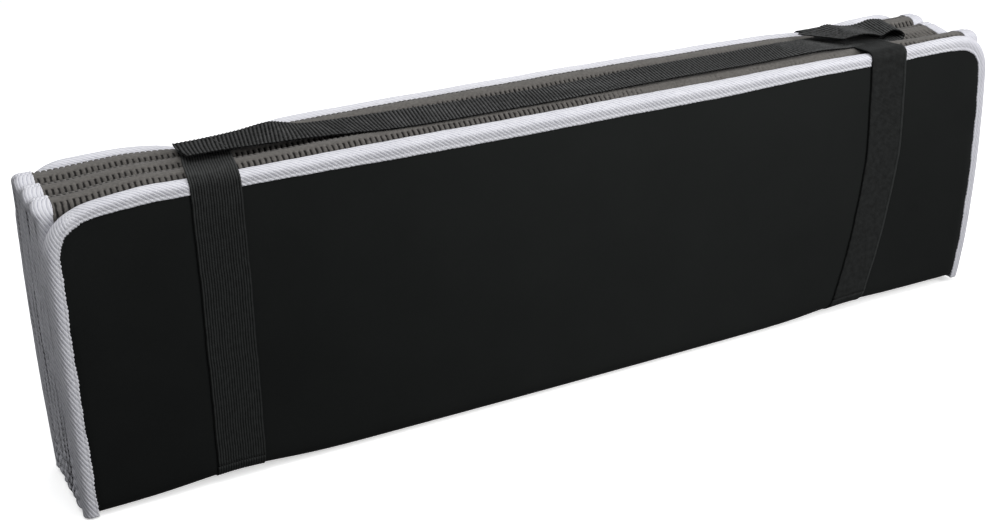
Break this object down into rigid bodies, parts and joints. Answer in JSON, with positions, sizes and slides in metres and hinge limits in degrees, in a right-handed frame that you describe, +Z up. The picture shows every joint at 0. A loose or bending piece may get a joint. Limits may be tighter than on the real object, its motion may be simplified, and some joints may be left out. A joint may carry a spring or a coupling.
{
  "type": "folding gym mat",
  "caption": "Accordion-folding exercise mat with ribbed and plain cloth over foam, bound edges, and a carry strap of elastic loops and a webbing handle.",
  "frame": {"origin": "on the ground, at the centre of the bottom of the folded block, under the elastic loops", "axes": "+X along the folds to the right-hand loop, +Y from the first panel to the last, +Z up from the bottom folds to the top folds"},
  "size_m": [0.61, 0.0822, 0.187],
  "materials": {
    "foam": "matt closed-cell foam",
    "ribbed_cloth": "warm grey ribbed cloth with ribs across the folds",
    "base_cloth": "near-black fine cloth, matt",
    "binding_tape": "white twill binding tape with a stitched edge",
    "elastic": "charcoal ribbed elastic",
    "webbing": "charcoal webbing with ribs across its width",
    "thread": "black sewing thread"
  },
  "bodies": {
    "panel_1": {"foam_core_1": "foam", "ribbed_cloth_1": "ribbed_cloth", "base_cloth_1": "base_cloth", "edge_tape_1": "binding_tape"},
    "panel_2": {"foam_core_2": "foam", "ribbed_cloth_2": "ribbed_cloth", "base_cloth_2": "base_cloth", "edge_tape_left_2": "binding_tape", "edge_tape_right_2": "binding_tape"},
    "panel_3": {"foam_core_3": "foam", "ribbed_cloth_3": "ribbed_cloth", "base_cloth_3": "base_cloth", "edge_tape_left_3": "binding_tape", "edge_tape_right_3": "binding_tape"},
    "panel_4": {"foam_core_4": "foam", "ribbed_cloth_4": "ribbed_cloth", "base_cloth_4": "base_cloth", "edge_tape_left_4": "binding_tape", "edge_tape_right_4": "binding_tape"},
    "panel_5": {"foam_core_5": "foam", "ribbed_cloth_5": "ribbed_cloth", "base_cloth_5": "base_cloth", "edge_tape_left_5": "binding_tape", "edge_tape_right_5": "binding_tape"},
    "panel_6": {"foam_core_6": "foam", "ribbed_cloth_6": "ribbed_cloth", "base_cloth_6": "base_cloth", "edge_tape_left_6": "binding_tape", "edge_tape_right_6": "binding_tape"},
    "panel_7": {"foam_core_7": "foam", "ribbed_cloth_7": "ribbed_cloth", "base_cloth_7": "base_cloth", "edge_tape_left_7": "binding_tape", "edge_tape_right_7": "binding_tape"},
    "panel_8": {"foam_core_8": "foam", "ribbed_cloth_8": "ribbed_cloth", "base_cloth_8": "base_cloth", "edge_tape_8": "binding_tape"},
    "elastic_loops": {"left_loop": "elastic", "right_loop": "elastic"},
    "handle_ends": {"handle_left_end": "webbing", "handle_right_end": "webbing", "left_seam": "thread", "right_seam": "thread"},
    "handle": {"handle_grip": "webbing"}
  },
  "joints": [
    {"name": "fold_7_8", "type": "hinge", "parent": "panel_8", "child": "panel_7", "pos_m": [0, 0.02015, 0.0013], "axis": [1, 0, 0], "range_deg": [0, 90], "deforming": ["left_loop", "right_loop"]},
    {"name": "fold_6_7", "type": "hinge", "parent": "panel_7", "child": "panel_6", "pos_m": [0, 0.02, 0.17645], "axis": [1, 0, 0], "range_deg": [-180.5, 0]},
    {"name": "fold_5_6", "type": "hinge", "parent": "panel_6", "child": "panel_5", "pos_m": [0, 0.01, 0.00115], "axis": [1, 0, 0], "range_deg": [0, 180.5]},
    {"name": "fold_4_5", "type": "hinge", "parent": "panel_5", "child": "panel_4", "pos_m": [0, 0, 0.17645], "axis": [1, 0, 0], "range_deg": [-180.5, 0]},
    {"name": "fold_3_4", "type": "hinge", "parent": "panel_4", "child": "panel_3", "pos_m": [0, -0.01, 0.00115], "axis": [1, 0, 0], "range_deg": [0, 180.5]},
    {"name": "fold_2_3", "type": "hinge", "parent": "panel_3", "child": "panel_2", "pos_m": [0, -0.02, 0.17645], "axis": [1, 0, 0], "range_deg": [-180.5, 0]},
    {"name": "fold_1_2", "type": "hinge", "parent": "panel_2", "child": "panel_1", "pos_m": [0, -0.03, 0.00115], "axis": [1, 0, 0], "range_deg": [0, 180.5]},
    {"name": "strap_slide", "type": "slide", "parent": "panel_8", "child": "elastic_loops", "axis": [1, 0, 0], "range_m": [0, 0.55]},
    {"name": "handle_follow", "type": "slide", "parent": "elastic_loops", "child": "handle_ends", "axis": [0, 1, 0], "range_m": [0, 0.0352]},
    {"name": "handle_lift", "type": "slide", "parent": "handle_ends", "child": "handle", "axis": [0, 0, 1], "range_m": [0, 0.03]}
  ],
  "couplings": [
    {"joint": "fold_6_7", "follows": "fold_7_8", "ratio": -2},
    {"joint": "fold_5_6", "follows": "fold_7_8", "ratio": 2},
    {"joint": "fold_4_5", "follows": "fold_7_8", "ratio": -2},
    {"joint": "fold_3_4", "follows": "fold_7_8", "ratio": 2},
    {"joint": "fold_2_3", "follows": "fold_7_8", "ratio": -2},
    {"joint": "fold_1_2", "follows": "fold_7_8", "ratio": 2},
    {"joint": "handle_follow", "follows": "fold_7_8", "m_per_rad": 0.022282}
  ]
}
